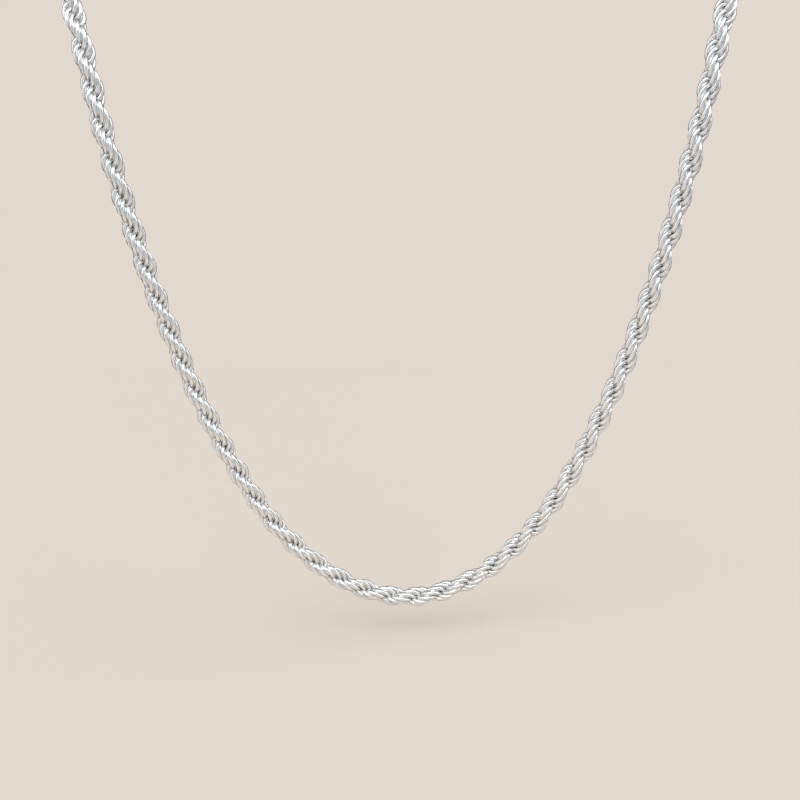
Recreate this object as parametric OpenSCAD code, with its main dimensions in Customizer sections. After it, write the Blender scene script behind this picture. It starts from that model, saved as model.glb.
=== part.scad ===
// A rope chain necklace as it hangs when worn: the chain's plain envelope, and the barrel clasp that closes it.
// +Z is up, the front of the loop faces -Y, and the origin is the point of the clasp that bears on the nape.

/* [Chain] */
// Outside diameter of the rope chain over its lobes
chain_d = 3; // [2:0.1:4]

/* [Clasp] */
// Length of the barrel from mouth to mouth
clasp_l = 12; // [11:0.5:14]
// Wall of the barrel round each socket, at its thickest
clasp_wall = 0.7; // [0.5:0.1:1.2]
// Wall left at each mouth, where the barrel tapers
mouth_wall = 0.4; // [0.3:0.05:0.5]
// Length of the taper at each end
taper_l = 3.2; // [2:0.1:4]
// Bevel on each mouth's outer rim
rim_bevel = 0.2; // [0.1:0.05:0.25]
// Depth of each socket, which takes an end of the chain
socket_depth = 3; // [2:0.5:4]

/* [Fits] */
// Gap all round the chain in its socket
socket_gap = 0.15; // [0.1:0.05:0.3]
// Gap between the chain's end and the bottom of its socket
end_gap = 0.3; // [0.1:0.1:0.5]

/* [Hidden] */
$fn = 48;

socket_r = chain_d / 2 + socket_gap;
clasp_r = socket_r + clasp_wall;
mouth_r = socket_r + mouth_wall;

// The chain is a loop that is the same on both sides. Its route is one half, from the clasp round the neck to the
// lowest point, relative to the middle of the clasp. The first point stands in the socket, and the others are chosen.
chain_end_x = clasp_l / 2 - socket_depth + end_gap;
half_route = [
    [chain_end_x, 0, 0],
    [8.5, 0, 0],
    [15.5, -1.3, -0.2],
    [25, -5, -0.8],
    [34.8, -12, -2.2],
    [43.4, -21.8, -4.7],
    [50, -34, -8.5],
    [53.2, -48, -14],
    [54, -62, -21],
    [52.6, -76, -29.5],
    [49.8, -89, -38.8],
    [45, -98.2, -50.5],
    [42.3, -101.4, -64],
    [39.8, -102, -77],
    [36.3, -102, -92],
    [30.8, -102, -109.6],
    [22.5, -102, -127.3],
    [11.9, -102, -139],
    [0, -102, -143.2],
];
route = concat(
    half_route,
    [for (i = [len(half_route) - 2:-1:0]) [-half_route[i].x, half_route[i].y, half_route[i].z]]
);

// The envelope has this many sides, and this many sections from one point of the route to the next.
chain_sides = 8;
sections = 2;
// A direction that the chain never runs along, square to the loop's mean plane
loop_normal = [0, -0.81, 0.58];

function unit(v) = v / norm(v);

// Point i of the route, with one more point past each end in line with the last two
function knot(i) =
    i < 0 ? 2 * route[0] - route[1]
    : i >= len(route) ? 2 * route[len(route) - 1] - route[len(route) - 2]
    : route[i];

// The smooth curve through the points a, b, c and d, from b at t = 0 to c at t = 1
function curve(a, b, c, d, t) =
    (2 * b + (c - a) * t + (2 * a - 5 * b + 4 * c - d) * t * t + (3 * b - a - 3 * c + d) * t * t * t) / 2;

// Its direction at t
function heading(a, b, c, d, t) =
    unit((c - a) + 2 * (2 * a - 5 * b + 4 * c - d) * t + 3 * (3 * b - a - 3 * c + d) * t * t);

// Section k of the envelope: its corners lie on a circle square to the curve
function section(k) =
    let (
        last = len(route) - 2,
        i = min(floor(k / sections), last),
        t = k / sections - i,
        a = knot(i - 1), b = knot(i), c = knot(i + 1), d = knot(i + 2),
        middle = curve(a, b, c, d, t),
        ahead = heading(a, b, c, d, t),
        out = unit(cross(ahead, loop_normal)),
        up = cross(out, ahead)
    )
    [for (j = [0:chain_sides - 1])
        let (turn = 360 * (j + 0.5) / chain_sides)
        middle + chain_d / 2 * (cos(turn) * out + sin(turn) * up)];

// A closed tube through the sections, each a ring of chain_sides corners
module tube(rings) {
    n = chain_sides;
    count = len(rings);
    walls = [for (k = [0:count - 2], j = [0:n - 1])
        [k * n + j, k * n + (j + 1) % n, (k + 1) * n + (j + 1) % n, (k + 1) * n + j]];
    first = [for (j = [n - 1:-1:0]) j];
    last = [for (j = [0:n - 1]) (count - 1) * n + j];
    polyhedron([for (ring = rings) each ring], concat([first], walls, [last]));
}

module rope_chain() {
    color("gainsboro")
        translate([0, clasp_r, 0])
            tube([for (k = [0:sections * (len(route) - 1)]) section(k)]);
}

// The barrel lies along X and tapers to each mouth.
module clasp() {
    half = clasp_l / 2;
    color("silver")
        translate([0, clasp_r, 0])
            rotate([0, 90, 0])
                difference() {
                    rotate_extrude()
                        polygon([
                            [0, -half],
                            [mouth_r - rim_bevel, -half],
                            [mouth_r, rim_bevel - half],
                            [clasp_r, taper_l - half],
                            [clasp_r, half - taper_l],
                            [mouth_r, half - rim_bevel],
                            [mouth_r - rim_bevel, half],
                            [0, half],
                        ]);
                    for (side = [-1, 1])
                        translate([0, 0, side * half])
                            cylinder(r = socket_r, h = 2 * socket_depth, center = true);
                }
}

rope_chain();
clasp();
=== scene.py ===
"""A polished silver rope chain necklace, hanging as worn: wire rings wound along the loop, and a clasp."""

import bpy
import numpy as np
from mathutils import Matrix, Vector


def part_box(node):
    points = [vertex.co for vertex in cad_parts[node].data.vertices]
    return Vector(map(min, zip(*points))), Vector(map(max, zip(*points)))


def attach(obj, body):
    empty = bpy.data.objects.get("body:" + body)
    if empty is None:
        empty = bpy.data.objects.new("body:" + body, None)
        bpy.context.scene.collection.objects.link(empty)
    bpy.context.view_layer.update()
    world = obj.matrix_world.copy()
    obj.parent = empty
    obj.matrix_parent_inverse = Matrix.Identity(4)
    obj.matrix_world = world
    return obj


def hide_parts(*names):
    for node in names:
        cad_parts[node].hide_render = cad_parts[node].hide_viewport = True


bl_info = {
    "name": "Rope Chain Necklace",
    "version": (1, 0, 0),
    "blender": (4, 5, 0),
    "location": "3D View > Sidebar > Necklace",
    "description": "Builds a silver rope chain necklace from rings of wire, with its clasp and a studio",
    "category": "Add Mesh",
}

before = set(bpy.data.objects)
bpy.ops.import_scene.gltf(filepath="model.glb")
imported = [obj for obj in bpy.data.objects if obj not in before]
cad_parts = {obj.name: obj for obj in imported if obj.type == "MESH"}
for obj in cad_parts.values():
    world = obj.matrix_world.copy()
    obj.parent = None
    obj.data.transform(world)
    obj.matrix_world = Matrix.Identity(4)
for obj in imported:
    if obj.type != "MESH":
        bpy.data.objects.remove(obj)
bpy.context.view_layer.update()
CLASP_LOW, CLASP_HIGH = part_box("clasp")
CHAIN_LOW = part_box("rope_chain")[0]

# One half of the rope's route, from its end in the clasp round the neck to the lowest point, relative to
# the middle of the clasp. The other half is its mirror image.
HALF_ROUTE = np.array([
    (0.0033, 0, 0),
    (0.0085, 0, 0),
    (0.0155, -0.0013, -0.0002),
    (0.025, -0.005, -0.0008),
    (0.0348, -0.012, -0.0022),
    (0.0434, -0.0218, -0.0047),
    (0.05, -0.034, -0.0085),
    (0.0532, -0.048, -0.014),
    (0.054, -0.062, -0.021),
    (0.0526, -0.076, -0.0295),
    (0.0498, -0.089, -0.0388),
    (0.045, -0.0982, -0.0505),
    (0.0423, -0.1014, -0.064),
    (0.0398, -0.102, -0.077),
    (0.0363, -0.102, -0.092),
    (0.0308, -0.102, -0.1096),
    (0.0225, -0.102, -0.1273),
    (0.0119, -0.102, -0.139),
    (0, -0.102, -0.1432),
])
CLASP_MIDDLE = np.array((CLASP_LOW + CLASP_HIGH) / 2)
# A direction that the rope never runs along, square to the loop's mean plane
LOOP_NORMAL = np.array((0, -0.81, 0.58))
# Steps of the rope's axis from one point of the route to the next
STEPS_PER_SPAN = 64
# Distance from each end of the rope to the last ring's place, in rope widths
END_MARGIN = 0.62

# Seed of the small differences between the rings, and how far they vary in place round the rope and in tilt
RING_SEED = 3
PLACE_SPREAD = np.radians(1.2)
TILT_SPREAD = np.radians(1.0)

# Points along each rounded corner of the clasp's outline
ARC_POINTS = 7
# The largest share of a side that one rounding takes
ROUNDING_LIMIT = 0.45
# Distance from a corner to the end of the flat side beside it, in lengths of the corner's cut
FLAT_START = 1.1


class RopeSizes(bpy.types.PropertyGroup):
    """Sizes of the rope and of the rings that it is wound from"""

    rope_width: bpy.props.FloatProperty(
        name="Rope width", description="Outside diameter of the rope over its lobes",
        default=0.0032, min=0.001, max=0.01, precision=5, unit="LENGTH")
    lobe_length: bpy.props.FloatProperty(
        name="Lobe length", description="Length of one lobe along the rope, from neck to neck",
        default=0.0052, min=0.002, max=0.02, precision=5, unit="LENGTH")
    lobe_closing: bpy.props.FloatProperty(
        name="Closing", description="Share by which the lobes close up at the lowest point",
        default=0.16, min=0.0, max=0.3, subtype="FACTOR")
    closing_reach: bpy.props.FloatProperty(
        name="Closing reach", description="Distance from the lowest point over which the lobes open again",
        default=0.0136, min=0.005, max=0.1, unit="LENGTH")
    rings_per_lobe: bpy.props.FloatProperty(
        name="Rings in a lobe",
        description="Rings from one neck to the next. Lobes differ from each other where it isn't whole",
        default=11.37, min=5.0, max=14.0)
    wire_share: bpy.props.FloatProperty(
        name="Wire", description="Thickness of the wire as a share of a ring's mean radius",
        default=0.5, min=0.1, max=0.8, subtype="FACTOR")
    stretch: bpy.props.FloatProperty(
        name="Ring stretch",
        description="Share by which a ring is longer along the rope than its mean, and narrower across",
        default=0.16, min=0.0, max=0.5, subtype="FACTOR")
    offset_share: bpy.props.FloatProperty(
        name="Ring offset",
        description="Distance of a ring's middle from the rope's axis, as a share of its mean radius",
        default=0.12, min=0.0, max=1.0, subtype="FACTOR")
    lean: bpy.props.FloatProperty(
        name="Lean", description="Angle between the rope's axis and the line square to a ring",
        default=np.radians(82), min=0.0, max=np.radians(90), subtype="ANGLE")
    cant: bpy.props.FloatProperty(
        name="Cant", description="Angle by which a ring dips towards the rope's axis",
        default=np.radians(-8), min=np.radians(-45), max=np.radians(45), subtype="ANGLE")
    turn: bpy.props.FloatProperty(
        name="Turn", description="Angle by which the whole rope is rolled about its own axis",
        default=np.radians(109), min=-np.pi, max=np.pi, subtype="ANGLE")
    ring_sides: bpy.props.IntProperty(
        name="Ring segments", description="Segments round a ring", default=15, min=10, max=32)
    wire_sides: bpy.props.IntProperty(
        name="Wire sides", description="Sides of the wire", default=6, min=5, max=12)


class ClaspSizes(bpy.types.PropertyGroup):
    """Sizes of the barrel clasp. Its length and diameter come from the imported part"""

    taper: bpy.props.FloatProperty(
        name="Taper", description="Length of the taper at each end", default=0.0032, unit="LENGTH")
    wall: bpy.props.FloatProperty(
        name="Wall", description="Wall round each socket, at its thickest", default=0.0007, unit="LENGTH")
    mouth_wall: bpy.props.FloatProperty(
        name="Mouth wall", description="Wall left at each mouth", default=0.0004, unit="LENGTH")
    rim_bevel: bpy.props.FloatProperty(
        name="Rim bevel", description="Bevel on each mouth's outer rim", default=0.0002, unit="LENGTH")
    socket_depth: bpy.props.FloatProperty(
        name="Socket depth", description="Depth of each socket", default=0.003, unit="LENGTH")
    edge_round: bpy.props.FloatProperty(
        name="Edge round", description="Length over which an edge is rounded off",
        default=0.00012, unit="LENGTH")
    shoulder_round: bpy.props.FloatProperty(
        name="Shoulder round", description="Length over which the shoulder of the taper is rounded off",
        default=0.0009, unit="LENGTH")
    sides: bpy.props.IntProperty(
        name="Sides", description="Facets round the barrel", default=72, min=24, max=128)


class SilverFinish(bpy.types.PropertyGroup):
    """Colour and polish of the silver"""

    bright: bpy.props.FloatVectorProperty(
        name="Bright silver", description="Colour of the silver where it is polished",
        default=(0.95, 0.955, 0.96), size=3, min=0.0, max=1.0, subtype="COLOR")
    # Dull colour: partly tarnish, partly painted shade in the rope's hollows; cloudy wear on the clasp
    dull: bpy.props.FloatVectorProperty(
        name="Shaded silver", description="Colour of the silver in the hollows that a cloth doesn't reach",
        default=(0.85, 0.855, 0.86), size=3, min=0.0, max=1.0, subtype="COLOR")
    edge: bpy.props.FloatVectorProperty(
        name="Edge tint", description="Tint of the reflection where the surface is seen edge on",
        default=(0.1, 0.1, 0.1), size=3, min=0.0, max=1.0, subtype="COLOR")
    roughness: bpy.props.FloatProperty(
        name="Roughness", description="Roughness of the polished wire",
        default=0.2, min=0.0, max=1.0, subtype="FACTOR")
    hollow_roughness: bpy.props.FloatProperty(
        name="Hollow roughness", description="Roughness of the wire deep in the rope",
        default=0.3, min=0.0, max=1.0, subtype="FACTOR")
    wave_height: bpy.props.FloatProperty(
        name="Waves", description="Height of the faint waves in the wire",
        default=0.00003, precision=6, unit="LENGTH")
    hairline_height: bpy.props.FloatProperty(
        name="Hairlines", description="Height of the hairlines and scratches on the clasp",
        default=0.000001, precision=6, unit="LENGTH")


class StudioSettings(bpy.types.PropertyGroup):
    """Floor, light and camera"""

    floor_colour: bpy.props.FloatVectorProperty(
        name="Floor", description="Colour of the floor",
        default=(0.837, 0.759, 0.680), size=3, min=0.0, max=1.0, subtype="COLOR")
    floor_gap: bpy.props.FloatProperty(
        name="Floor gap", description="Distance from the bottom of the packed rope down to the floor",
        default=0.006, unit="LENGTH")
    floor_reach: bpy.props.FloatProperty(
        name="Floor reach", description="Distance from the middle of the floor to each of its sides",
        default=0.12, unit="LENGTH")
    backdrop: bpy.props.FloatVectorProperty(
        name="Backdrop", description="Colour behind the floor",
        default=(0.76, 0.69, 0.62), size=3, min=0.0, max=2.0, subtype="COLOR")
    fill: bpy.props.FloatVectorProperty(
        name="Fill light", description="Light that comes from all round",
        default=(0.02, 0.0202, 0.0205), size=3, min=0.0, max=4.0, subtype="COLOR")
    window_strength: bpy.props.FloatProperty(
        name="Window", description="Strength of the broad light from above", default=0.8, min=0.0)
    window_size: bpy.props.FloatProperty(
        name="Window size", description="Angle that the broad light fills",
        default=np.radians(50), subtype="ANGLE")
    window_turn: bpy.props.FloatVectorProperty(
        name="Window turn", description="Turn of the broad light about each axis, from straight down",
        default=(np.radians(35), np.radians(-20), 0.0), size=3, subtype="EULER")
    camera_drop: bpy.props.FloatProperty(
        name="Camera angle", description="Angle by which the camera looks down",
        default=np.radians(24), subtype="ANGLE")
    camera_roll: bpy.props.FloatProperty(
        name="Camera roll", description="Angle by which the camera is rolled about its own line of sight",
        default=np.radians(-0.88), subtype="ANGLE")
    camera_distance: bpy.props.FloatProperty(
        name="Camera distance", description="Distance from the camera to the point it aims at",
        default=0.1855, unit="LENGTH")
    aim: bpy.props.FloatVectorProperty(
        name="Aim", description="Point the camera aims at, from the rope's lowest point",
        default=(-0.00089, 0, 0.03589), size=3, precision=5, subtype="XYZ_LENGTH")
    lens: bpy.props.FloatProperty(
        name="Lens", description="Focal length on a sensor 36 mm wide",
        default=54.0, subtype="DISTANCE_CAMERA")


def unit(vectors):
    """Each vector divided by its length."""
    return vectors / np.linalg.norm(vectors, axis=-1, keepdims=True)


def rope_axis():
    """Distances along the rope's axis, and its points and directions there.

    The route's points are joined by a smooth curve through them: from b to c, with a before and d after, at
    share t, it is half of 2b + (c - a)t + (2a - 5b + 4c - d)t^2 + (3b - a - 3c + d)t^3. Distance is counted
    from the lowest point, in the middle of the route. At each point, side is square to the way ahead and to
    the loop's normal, and lift is square to the way ahead and to side.
    """
    mirrored = HALF_ROUTE[-2::-1] * (-1, 1, 1)
    route = np.vstack([HALF_ROUTE, mirrored])
    knots = np.vstack([2 * route[0] - route[1], route, 2 * route[-1] - route[-2]])
    a, b, c, d = (knots[i:len(knots) - 3 + i, None] for i in range(4))
    t = (np.arange(STEPS_PER_SPAN) / STEPS_PER_SPAN)[None, :, None]
    points = (2 * b + (c - a) * t + (2 * a - 5 * b + 4 * c - d) * t**2 + (3 * b - a - 3 * c + d) * t**3) / 2
    points = np.vstack([points.reshape(-1, 3), route[-1:]]) + CLASP_MIDDLE
    steps = np.linalg.norm(np.diff(points, axis=0), axis=1)
    along = np.concatenate([[0], np.cumsum(steps)])
    along -= along[-1] / 2
    ahead = unit(np.gradient(points, along, axis=0))
    side = unit(np.cross(ahead, LOOP_NORMAL))
    lift = np.cross(ahead, side)
    return along, points, side, lift, ahead


def read_along(along, values, where):
    """Each column of values, read between its samples at the distances where."""
    return np.stack([np.interp(where, along, column) for column in values.T], -1)


def ring_places(sizes, along, margin):
    """Numbers of the rings and their distances along the rope.

    A lobe is lobe_length long, and near the lowest point it is shorter by the share lobe_closing times
    exp(-(distance / closing_reach)^2). The count of lobes from the lowest point is the sum of distance over
    lobe length. The rings stand at equal shares of it, the outermost ones a margin in from the rope's ends.
    """
    lobe = sizes.lobe_length * (1 - sizes.lobe_closing * np.exp(-(along / sizes.closing_reach) ** 2))
    lobes = np.concatenate([[0], np.cumsum(2 * np.diff(along) / (lobe[1:] + lobe[:-1]))])
    lobes -= np.interp(0, along, lobes)
    last = int(np.interp(along[-1] - margin, along, lobes) * sizes.rings_per_lobe)
    numbers = np.arange(-last, last + 1)
    return numbers, np.interp(numbers / sizes.rings_per_lobe, lobes, along)


def ring_surface(sizes, numbers, rng):
    """Corners of every ring about its own place on the rope, and how deep each lies in the rope.

    A ring is a flat oval of round wire. At the angle T round the ring, its middle line lies at
    offset u + (1 - stretch) cos(T) a + (1 + stretch) sin(T) w. At the angle A round the wire, the surface
    lies half a wire from there, at cos(A) outwards + sin(A) square to the ring. Ring i stands at the angle
    -i (180 degrees + 180 / rings in a lobe) round the rope, which winds to the left. There u points out of
    the rope, v round it the way it winds and z along it. The line square to the ring leans from z towards
    v. The ring's length w is square to that line and to u, and its width a dips from u towards that line.
    All of it is scaled until the outermost wire lies half a rope width from the axis. Depth is 0 there and
    1 on the axis.
    """
    count = len(numbers)
    around = -numbers * (np.pi + np.pi / sizes.rings_per_lobe) + sizes.turn
    around = around + rng.normal(0, PLACE_SPREAD, count)
    lean = (sizes.lean + rng.normal(0, TILT_SPREAD, count))[:, None]
    cant = (sizes.cant + rng.normal(0, TILT_SPREAD, count))[:, None]
    zero = np.zeros(count)
    u = np.stack([np.cos(around), np.sin(around), zero], -1)
    v = np.stack([np.sin(around), -np.cos(around), zero], -1)
    z = np.array((0.0, 0.0, 1.0))
    square = np.cos(lean) * z + np.sin(lean) * v
    w = -np.sin(lean) * z + np.cos(lean) * v
    a = np.cos(cant) * u + np.sin(cant) * square
    normal = -np.sin(cant) * u + np.cos(cant) * square

    turn = np.linspace(0, 2 * np.pi, sizes.ring_sides, endpoint=False)[None, :, None, None]
    spin = np.linspace(0, -2 * np.pi, sizes.wire_sides, endpoint=False)[None, None, :, None]
    a, w, normal = (vectors[:, None, None, :] for vectors in (a, w, normal))
    across, length = 1 - sizes.stretch, 1 + sizes.stretch
    offset = sizes.offset_share * u[:, None, None, :]
    middle = offset + across * np.cos(turn) * a + length * np.sin(turn) * w
    outwards = unit(length * np.cos(turn) * a + across * np.sin(turn) * w)
    surface = middle + sizes.wire_share / 2 * (np.cos(spin) * outwards + np.sin(spin) * normal)

    reach = np.hypot(middle[..., 0], middle[..., 1]).max(axis=(1, 2)).mean() + sizes.wire_share / 2
    scale = sizes.rope_width / 2 / reach
    depth = np.clip(1 - np.hypot(surface[..., 0], surface[..., 1]) / reach, 0, 1)
    return surface * scale, depth


def ring_faces(count, rows, columns):
    """Faces of count closed grids of rows by columns corners, each joined end to end both ways."""
    base = (np.arange(count) * rows * columns)[:, None, None]
    row = np.arange(rows)[None, :, None]
    column = np.arange(columns)[None, None, :]
    here = base + row * columns
    there = base + (row + 1) % rows * columns
    beside = (column + 1) % columns
    return np.stack([here + column, there + column, there + beside, here + beside], -1).reshape(-1, 4)


def make_piece(name, corners, faces, material, replaced):
    """A smooth mesh of these corners and faces that rides with the part in place of its solid."""
    mesh = bpy.data.meshes.new(name)
    mesh.from_pydata(corners, [], faces)
    mesh.materials.append(material)
    mesh.shade_smooth()
    piece = bpy.data.objects.new(name, mesh)
    bpy.context.collection.objects.link(piece)
    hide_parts(replaced)
    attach(piece, "root")
    return piece


def add_values(mesh, name, values):
    """Stores one number for each corner of the mesh."""
    layer = mesh.attributes.new(name, "FLOAT", "POINT")
    layer.data.foreach_set("value", np.asarray(values, np.float32).ravel())


# Where the values of a noise mostly lie
NOISE_RANGE = (0.3, 0.7)


def new_material(name):
    """A node material, with its node tree, its shader and its object coordinates."""
    material = bpy.data.materials.new(name)
    material.use_nodes = True
    tree = material.node_tree
    shader = tree.nodes["Principled BSDF"]
    coordinates = tree.nodes.new("ShaderNodeTexCoord").outputs["Object"]
    return material, tree, shader, coordinates


def noise(tree, coordinates, scale, detail, distortion=0.0):
    """A noise of the scale, in features to a metre, read at the coordinates."""
    node = tree.nodes.new("ShaderNodeTexNoise")
    node.inputs["Scale"].default_value = scale
    node.inputs["Detail"].default_value = detail
    node.inputs["Distortion"].default_value = distortion
    tree.links.new(coordinates, node.inputs["Vector"])
    return node.outputs["Fac"]


def stretched(tree, coordinates, scale):
    """The coordinates, scaled along each axis."""
    node = tree.nodes.new("ShaderNodeMapping")
    node.inputs["Scale"].default_value = scale
    tree.links.new(coordinates, node.inputs["Vector"])
    return node.outputs["Vector"]


def remap(tree, value, old_range, new_range):
    """The value, moved from the old range to the new one, and kept within it."""
    node = tree.nodes.new("ShaderNodeMapRange")
    tree.links.new(value, node.inputs["Value"])
    for socket, number in zip(("From Min", "From Max", "To Min", "To Max"), (*old_range, *new_range)):
        node.inputs[socket].default_value = number
    return node.outputs["Result"]


def blend_colours(tree, share, first, second):
    """The first colour turning into the second as the share goes from 0 to 1."""
    node = tree.nodes.new("ShaderNodeMix")
    node.data_type = "RGBA"
    tree.links.new(share, node.inputs["Factor"])
    node.inputs["A"].default_value = (*first, 1)
    node.inputs["B"].default_value = (*second, 1)
    return node.outputs["Result"]


def arithmetic(tree, operation, first, second):
    """Two values, or a value and a number, put together by the operation."""
    node = tree.nodes.new("ShaderNodeMath")
    node.operation = operation
    for socket, value in zip(node.inputs, (first, second)):
        if isinstance(value, (int, float)):
            socket.default_value = value
        else:
            tree.links.new(value, socket)
    return node.outputs[0]


def bump(tree, height, distance):
    """A bump of the height, this many metres high."""
    node = tree.nodes.new("ShaderNodeBump")
    node.inputs["Distance"].default_value = distance
    tree.links.new(height, node.inputs["Height"])
    return node.outputs["Normal"]


def piece_values(tree, name):
    """The values that the piece stores under the name."""
    node = tree.nodes.new("ShaderNodeAttribute")
    node.attribute_name = name
    return node.outputs["Fac"]


def finish_silver(tree, shader, finish, shade, rough, normal):
    """Makes the shader silver, from bright to dull with the shade, and tinted where it is seen edge on."""
    tree.links.new(blend_colours(tree, shade, finish.bright, finish.dull), shader.inputs["Base Color"])
    tree.links.new(rough, shader.inputs["Roughness"])
    tree.links.new(normal, shader.inputs["Normal"])
    shader.inputs["Metallic"].default_value = 1.0
    shader.inputs["Specular Tint"].default_value = (*finish.edge, 1)


# Depths in the rope over which tarnish and painted shade darken the wire, and over which it turns rough
SHADE_AND_TARNISH_DEPTHS = (0.3, 0.85)
ROUGH_DEPTHS = (0.2, 0.8)
# Share of the dull colour, tarnish and painted shade, at those two depths, and what the clouds leave of it
SHADE_AND_TARNISH_SHARES = (0.0, 0.85)
CLOUDS_LEAVE = (0.7, 1.0)
# What the clouds add to the wire's roughness, and what each ring's own polish adds
CLOUDS_ROUGHEN = (-0.03, 0.05)
POLISH_ROUGHENS = (-0.03, 0.03)
# Height of the wire's scratches as a share of its waves'
SCRATCH_SHARE = 0.08


def wire_silver(finish):
    """Polished silver wire.

    The hollows inside the rope are darker, partly tarnish and partly painted shade, each ring differs a
    little in polish, cloudy wear a millimetre or so across changes the gloss, and the wire has a faint
    waviness from drawing and hand polish.
    """
    material, tree, shader, coordinates = new_material("silver_wire")
    depth = piece_values(tree, "depth")
    polish = piece_values(tree, "polish")
    clouds = noise(tree, coordinates, scale=700.0, detail=3.0)
    waves = noise(tree, coordinates, scale=1500.0, detail=1.5)
    scratches = noise(tree, coordinates, scale=9000.0, detail=1.0, distortion=0.5)

    # Darker towards the rope's axis: partly tarnish, partly painted shade where the rings crowd each other
    painted_shade_and_tarnish = remap(tree, depth, SHADE_AND_TARNISH_DEPTHS, SHADE_AND_TARNISH_SHARES)
    shade = arithmetic(tree, "MULTIPLY", painted_shade_and_tarnish, remap(tree, clouds, NOISE_RANGE, CLOUDS_LEAVE))

    cloudy = remap(tree, clouds, NOISE_RANGE, CLOUDS_ROUGHEN)
    uneven = arithmetic(tree, "ADD", cloudy, remap(tree, polish, (0.0, 1.0), POLISH_ROUGHENS))
    wire = remap(tree, depth, ROUGH_DEPTHS, (finish.roughness, finish.hollow_roughness))
    rough = arithmetic(tree, "ADD", uneven, wire)

    height = arithmetic(tree, "ADD", waves, arithmetic(tree, "MULTIPLY", scratches, SCRATCH_SHARE))
    finish_silver(tree, shader, finish, shade, rough, bump(tree, height, finish.wave_height))
    return material


# Scales along each axis that draw a noise out round the barrel, and along it
ROUND_BARREL = (1.0, 0.03, 0.03)
ALONG_BARREL = (0.2, 1.0, 1.0)
# How much smoother than the wire the clasp is in its clearest places and in its cloudiest
CLASP_SMOOTHNESS = (0.1, 0.04)
# What the hairlines add to the clasp's roughness, and their height as a share of the stray scratches'
HAIRLINES_ROUGHEN = (0.0, 0.06)
HAIRLINE_SHARE = 0.5
# Values of the clouds between which the clasp turns duller, and its share of dull silver there
DULL_CLOUDS = (0.35, 0.75)
DULL_CLASP = (0.0, 0.12)


def clasp_silver(finish):
    """Turned and polished silver: hairlines round the barrel, stray scratches and soft cloudy wear."""
    material, tree, shader, coordinates = new_material("silver_barrel")
    round_barrel = stretched(tree, coordinates, ROUND_BARREL)
    along_barrel = stretched(tree, coordinates, ALONG_BARREL)
    clouds = noise(tree, coordinates, scale=450.0, detail=3.0)
    hairlines = noise(tree, round_barrel, scale=16000.0, detail=2.0)
    scratches = noise(tree, along_barrel, scale=5000.0, detail=1.0, distortion=1.5)

    shade = remap(tree, clouds, DULL_CLOUDS, DULL_CLASP)
    cloudy = remap(tree, clouds, NOISE_RANGE, [finish.roughness - less for less in CLASP_SMOOTHNESS])
    rough = arithmetic(tree, "ADD", cloudy, remap(tree, hairlines, NOISE_RANGE, HAIRLINES_ROUGHEN))
    height = arithmetic(tree, "ADD", arithmetic(tree, "MULTIPLY", hairlines, HAIRLINE_SHARE), scratches)
    finish_silver(tree, shader, finish, shade, rough, bump(tree, height, finish.hairline_height))
    return material


def clasp_profile(sizes):
    """Distance along and radius of each point of the clasp's outline, from socket floor to socket floor.

    Each corner of the outline is cut back by its own rounding and bridged by the curve
    (1 - t)^2 A + 2t(1 - t) C + t^2 B, where C is the corner and A and B are the ends of the cut. One more
    point on each side of the curve keeps the shading of the flat sides flat.
    """
    half = (CLASP_HIGH.x - CLASP_LOW.x) / 2
    barrel = (CLASP_HIGH.y - CLASP_LOW.y) / 2
    socket = barrel - sizes.wall
    mouth = socket + sizes.mouth_wall
    edge, shoulder = sizes.edge_round, sizes.shoulder_round
    one_end = np.array([
        (half - sizes.socket_depth, 0, 0),
        (half - sizes.socket_depth, socket, edge),
        (half, socket, edge),
        (half, mouth - sizes.rim_bevel, edge),
        (half - sizes.rim_bevel, mouth, edge),
        (half - sizes.taper, barrel, shoulder),
    ])
    corners = np.vstack([one_end, one_end[::-1] * (-1, 1, 1)])
    places, rounding = corners[:, :2], corners[1:-1, 2:]
    to_next = np.diff(places, axis=0)
    room = np.linalg.norm(to_next, axis=1, keepdims=True) * ROUNDING_LIMIT
    before, after = -unit(to_next[:-1]), unit(to_next[1:])
    cut = np.minimum(rounding, np.minimum(room[:-1], room[1:]))
    c = places[1:-1]
    a, b = c + cut * before, c + cut * after
    t = np.linspace(0, 1, ARC_POINTS)[None, :, None]
    arcs = (1 - t) ** 2 * a[:, None] + 2 * t * (1 - t) * c[:, None] + t**2 * b[:, None]
    lead, trail = c + FLAT_START * cut * before, c + FLAT_START * cut * after
    arcs = np.concatenate([lead[:, None], arcs, trail[:, None]], axis=1)
    return np.vstack([places[:1], arcs.reshape(-1, 2), places[-1:]])


def lathe(profile, sides):
    """Corners and faces of a profile turned round the x axis and closed at both poles.

    A point of the profile at x, with the radius r, goes to (x, r cos(angle), r sin(angle)) at each angle.
    """
    angle = np.linspace(0, 2 * np.pi, sides, endpoint=False)
    x = np.repeat(profile[1:-1, 0, None], sides, axis=1)
    radius = profile[1:-1, 1, None]
    wall = np.stack([x, radius * np.cos(angle), radius * np.sin(angle)], -1).reshape(-1, 3)
    poles = np.array([(profile[0, 0], 0, 0), (profile[-1, 0], 0, 0)])
    rows = len(profile) - 2
    column = np.arange(sides)
    beside = (column + 1) % sides
    row = (np.arange(rows - 1) * sides)[:, None]
    quads = np.stack([row + column, row + beside, row + sides + beside, row + sides + column], -1)
    first, last = rows * sides, rows * sides + 1
    end = (rows - 1) * sides
    start_fan = np.stack([np.full(sides, first), beside, column], -1)
    end_fan = np.stack([np.full(sides, last), end + column, end + beside], -1)
    faces = quads.reshape(-1, 4).tolist() + start_fan.tolist() + end_fan.tolist()
    return np.vstack([wall, poles]), faces


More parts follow.
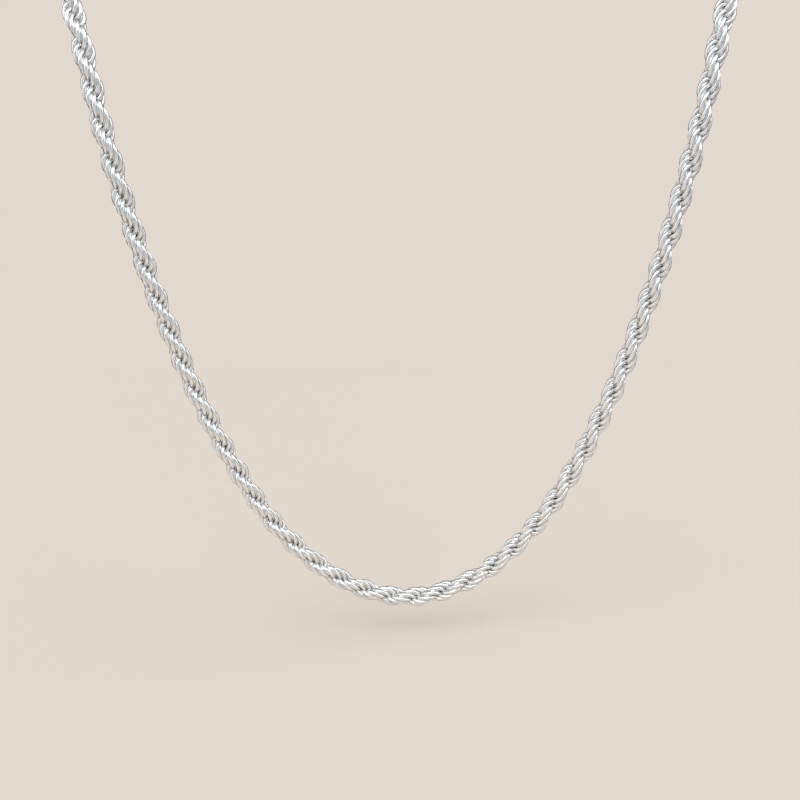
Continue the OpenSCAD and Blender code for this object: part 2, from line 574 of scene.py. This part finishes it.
class NECKLACE_OT_rope(bpy.types.Operator):
    """Winds the rope chain from rings of wire along the loop"""

    bl_idname = "necklace.rope"
    bl_label = "Rope chain"

    def execute(self, context):
        sizes = context.scene.rope_sizes
        rng = np.random.default_rng(RING_SEED)
        along, points, side, lift, ahead = rope_axis()
        numbers, where = ring_places(sizes, along, END_MARGIN * sizes.rope_width)
        surface, depth = ring_surface(sizes, numbers, rng)
        place = read_along(along, points, where)[:, None, None]
        axes = [unit(read_along(along, vectors, where))[:, None, None] for vectors in (side, lift, ahead)]
        corners = place + sum(surface[..., i:i + 1] * axes[i] for i in range(3))
        faces = ring_faces(len(numbers), sizes.ring_sides, sizes.wire_sides)
        silver = wire_silver(context.scene.silver_finish)
        rope = make_piece("rope_links", corners.reshape(-1, 3), faces, silver, "rope_chain")
        add_values(rope.data, "depth", depth)
        polish = rng.random(len(numbers))
        add_values(rope.data, "polish", np.repeat(polish, sizes.ring_sides * sizes.wire_sides))
        self.report({"INFO"}, f"{len(numbers)} rings")
        return {"FINISHED"}


class NECKLACE_OT_clasp(bpy.types.Operator):
    """Turns the barrel clasp, with a socket for the rope in each end"""

    bl_idname = "necklace.clasp"
    bl_label = "Barrel clasp"

    def execute(self, context):
        sizes = context.scene.clasp_sizes
        corners, faces = lathe(clasp_profile(sizes), sizes.sides)
        silver = clasp_silver(context.scene.silver_finish)
        make_piece("barrel_clasp", corners + CLASP_MIDDLE, faces, silver, "clasp")
        return {"FINISHED"}


# The floor's darkest tone as a share of its colour, how much of the way to it the grain and the broad tones
# each go, and the height of the grain
PAPER_SHADE = 0.985
GRAIN_SHARES = (0.0, 0.3)
TONE_SHARES = (0.0, 0.7)
GRAIN_HEIGHT = 0.00002


def floor_material(colour):
    """Matt pale paper: a faint grain in its colour and height, and broad soft changes of tone."""
    material, tree, shader, coordinates = new_material("paper_floor")
    grain = noise(tree, coordinates, scale=1200.0, detail=3.0)
    tones = noise(tree, coordinates, scale=6.0, detail=2.0)
    fine_share = remap(tree, grain, NOISE_RANGE, GRAIN_SHARES)
    share = arithmetic(tree, "ADD", fine_share, remap(tree, tones, NOISE_RANGE, TONE_SHARES))
    darker = tuple(PAPER_SHADE * part for part in colour)
    tree.links.new(blend_colours(tree, share, colour, darker), shader.inputs["Base Color"])
    shader.inputs["Roughness"].default_value = 0.9
    shader.inputs["Specular IOR Level"].default_value = 0.1
    tree.links.new(bump(tree, grain, GRAIN_HEIGHT), shader.inputs["Normal"])
    return material


# The soft boxes of the studio. Each row holds the way to the box, the angles from there at which its light
# starts to fade and is gone, in degrees, and its brightness.
SOFT_BOXES = (
    ((0.0, -1.0, 0.3), 40.0, 100.0, 0.4),
    ((-1.0, 0.0, 0.2), 0.0, 55.0, 0.85),
    ((1.0, 0.0, 0.0), 0.0, 50.0, 0.5),
    ((0.7, 0.0, 0.7), 0.0, 50.0, 0.95),
    ((0.0, -0.1, 1.0), 0.0, 50.0, 0.35),
    ((0.0, -0.7, -0.5), 0.0, 60.0, 0.25),
    ((0.0, 1.0, 0.2), 20.0, 80.0, 0.4),
)


def soft_box(tree, direction, light, towards, inner, outer, brightness):
    """The light, a colour or an output, with a soft box added to it.

    The box is bright up to the inner angle and gone at the outer one. The angle is read from its cosine,
    which is the dot product of the direction and the way to the box.
    """
    dot = tree.nodes.new("ShaderNodeVectorMath")
    dot.operation = "DOT_PRODUCT"
    dot.inputs[1].default_value = unit(np.array(towards))
    tree.links.new(direction, dot.inputs[0])
    dark_from, bright_from = np.cos(np.radians(outer)), np.cos(np.radians(inner))
    share = remap(tree, dot.outputs["Value"], (dark_from, bright_from), (0.0, 1.0))
    share.node.interpolation_type = "SMOOTHSTEP"
    mix = tree.nodes.new("ShaderNodeMix")
    mix.data_type = "RGBA"
    mix.blend_type = "ADD"
    tree.links.new(share, mix.inputs["Factor"])
    if isinstance(light, bpy.types.NodeSocket):
        tree.links.new(light, mix.inputs["A"])
    else:
        mix.inputs["A"].default_value = (*light, 1)
    mix.inputs["B"].default_value = (brightness, brightness, brightness, 1)
    return mix.outputs["Result"]


def add_world(scene, studio):
    """Soft light from all round with broad soft boxes, and a plain pale backdrop behind the floor."""
    world = bpy.data.worlds.new("studio")
    scene.world = world
    world.use_nodes = True
    tree = world.node_tree
    direction = tree.nodes.new("ShaderNodeTexCoord").outputs["Generated"]
    light = studio.fill
    for towards, inner, outer, brightness in SOFT_BOXES:
        light = soft_box(tree, direction, light, towards, inner, outer, brightness)
    lit = tree.nodes["Background"]
    tree.links.new(light, lit.inputs["Color"])
    seen = tree.nodes.new("ShaderNodeBackground")
    seen.inputs["Color"].default_value = (*studio.backdrop, 1)
    path = tree.nodes.new("ShaderNodeLightPath")
    choice = tree.nodes.new("ShaderNodeMixShader")
    tree.links.new(path.outputs["Is Camera Ray"], choice.inputs["Fac"])
    tree.links.new(lit.outputs["Background"], choice.inputs[1])
    tree.links.new(seen.outputs["Background"], choice.inputs[2])
    tree.links.new(choice.outputs["Shader"], tree.nodes["World Output"].inputs["Surface"])


class NECKLACE_OT_studio(bpy.types.Operator):
    """Sets the pale floor, the soft light and the camera"""

    bl_idname = "necklace.studio"
    bl_label = "Studio"

    def execute(self, context):
        scene = context.scene
        studio = scene.studio_settings
        lowest = HALF_ROUTE[-1] + CLASP_MIDDLE
        floor_middle = np.array((0, lowest[1], CHAIN_LOW.z - studio.floor_gap))
        square = np.array([(-1, -1, 0), (1, -1, 0), (1, 1, 0), (-1, 1, 0)])
        mesh = bpy.data.meshes.new("floor")
        mesh.from_pydata(floor_middle + studio.floor_reach * square, [], [(0, 1, 2, 3)])
        mesh.materials.append(floor_material(studio.floor_colour))
        floor = bpy.data.objects.new("floor", mesh)
        context.collection.objects.link(floor)
        add_world(scene, studio)

        sun = bpy.data.lights.new("window", "SUN")
        sun.energy = studio.window_strength
        sun.angle = studio.window_size
        holder = bpy.data.objects.new("window", sun)
        holder.rotation_euler = studio.window_turn
        context.collection.objects.link(holder)

        aim = lowest + np.array(studio.aim)
        drop = studio.camera_drop
        look = np.array((0, np.cos(drop), -np.sin(drop)))
        camera = bpy.data.cameras.new("camera")
        camera.lens = studio.lens
        camera.sensor_width = 36.0
        camera.clip_start = 0.01
        holder = bpy.data.objects.new("camera", camera)
        holder.location = aim - studio.camera_distance * look
        holder.rotation_euler = (np.pi / 2 - drop, 0, 0)
        holder.rotation_euler.rotate_axis("Z", studio.camera_roll)
        context.collection.objects.link(holder)
        scene.camera = holder
        scene.view_settings.view_transform = "Standard"
        return {"FINISHED"}


class NECKLACE_PT_panel(bpy.types.Panel):
    """Builds the necklace from the sidebar"""

    bl_label = "Rope chain necklace"
    bl_idname = "NECKLACE_PT_panel"
    bl_space_type = "VIEW_3D"
    bl_region_type = "UI"
    bl_category = "Necklace"

    def draw(self, context):
        scene = context.scene
        groups = (
            ("necklace.rope", scene.rope_sizes),
            ("necklace.clasp", scene.clasp_sizes),
            (None, scene.silver_finish),
            ("necklace.studio", scene.studio_settings),
        )
        for operator, settings in groups:
            box = self.layout.box()
            if operator:
                box.operator(operator)
            for name in settings.__annotations__:
                box.prop(settings, name)


GROUPS = {
    "rope_sizes": RopeSizes,
    "clasp_sizes": ClaspSizes,
    "silver_finish": SilverFinish,
    "studio_settings": StudioSettings,
}
CLASSES = (*GROUPS.values(), NECKLACE_OT_rope, NECKLACE_OT_clasp, NECKLACE_OT_studio, NECKLACE_PT_panel)


def register():
    """Makes the necklace's sizes, operators and panel known to Blender."""
    for cls in CLASSES:
        bpy.utils.register_class(cls)
    for name, group in GROUPS.items():
        setattr(bpy.types.Scene, name, bpy.props.PointerProperty(type=group))


def unregister():
    """Takes them away again."""
    for name in GROUPS:
        delattr(bpy.types.Scene, name)
    for cls in reversed(CLASSES):
        bpy.utils.unregister_class(cls)


def main():
    """Builds the necklace and its studio."""
    register()
    bpy.ops.necklace.rope()
    bpy.ops.necklace.clasp()
    bpy.ops.necklace.studio()


if __name__ == "__main__":
    main()
